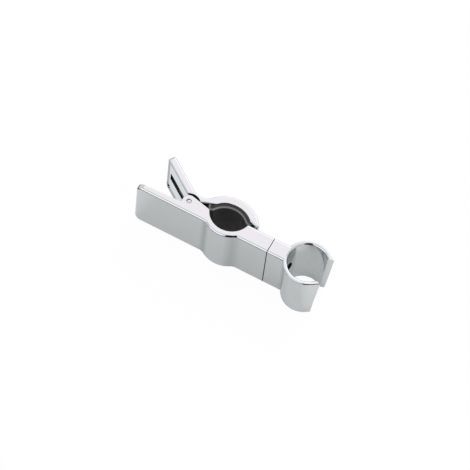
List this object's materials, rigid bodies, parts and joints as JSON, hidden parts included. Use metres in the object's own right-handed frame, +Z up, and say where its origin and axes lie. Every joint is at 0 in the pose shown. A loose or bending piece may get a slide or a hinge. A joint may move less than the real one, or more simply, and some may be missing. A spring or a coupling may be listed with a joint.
{
  "type": "shower rail slider",
  "caption": "Sprung clamp for a round shower rail, squeezed open by its two handles, with an open tapered ring that swivels on the end of its arm and holds a hand shower.",
  "frame": {"origin": "on the rail's axis, at the level of the underside", "axes": "+Z up along the rail, +X from the fixed handle to the hand shower's ring, +Y to the back, where the lever is"},
  "size_m": [0.1223, 0.0393, 0.0378],
  "materials": {
    "chrome_plate": "polished chrome plate on moulded plastic",
    "dark_rubber": "matt, soft",
    "bright_steel": "turned and bright",
    "brass": "machined",
    "white_nylon": "moulded"
  },
  "bodies": {
    "body": {"front_body": "chrome_plate", "hinge_pin": "bright_steel", "clamp_spring": "bright_steel", "threaded_insert": "brass", "thrust_washer": "white_nylon", "swivel_screw": "bright_steel", "plain_washer": "bright_steel", "spring_washer": "bright_steel"},
    "lever": {"lever": "chrome_plate", "jaw_pad": "dark_rubber"},
    "holder": {"holder": "chrome_plate", "friction_washer": "white_nylon"}
  },
  "joints": [
    {"name": "lever_hinge", "type": "hinge", "parent": "body", "child": "lever", "pos_m": [-0.0247, -0.0059, 0.0189], "axis": [0, 0, 1], "range_deg": [0, 38], "stiffness_Nm_per_rad": 0.5, "springref_deg": -34.38, "deforming": ["clamp_spring"]},
    {"name": "holder_swivel", "type": "hinge", "parent": "body", "child": "holder", "pos_m": [0.0301, -0.00755, 0.0189], "axis": [1, 0, 0], "continuous": true}
  ]
}
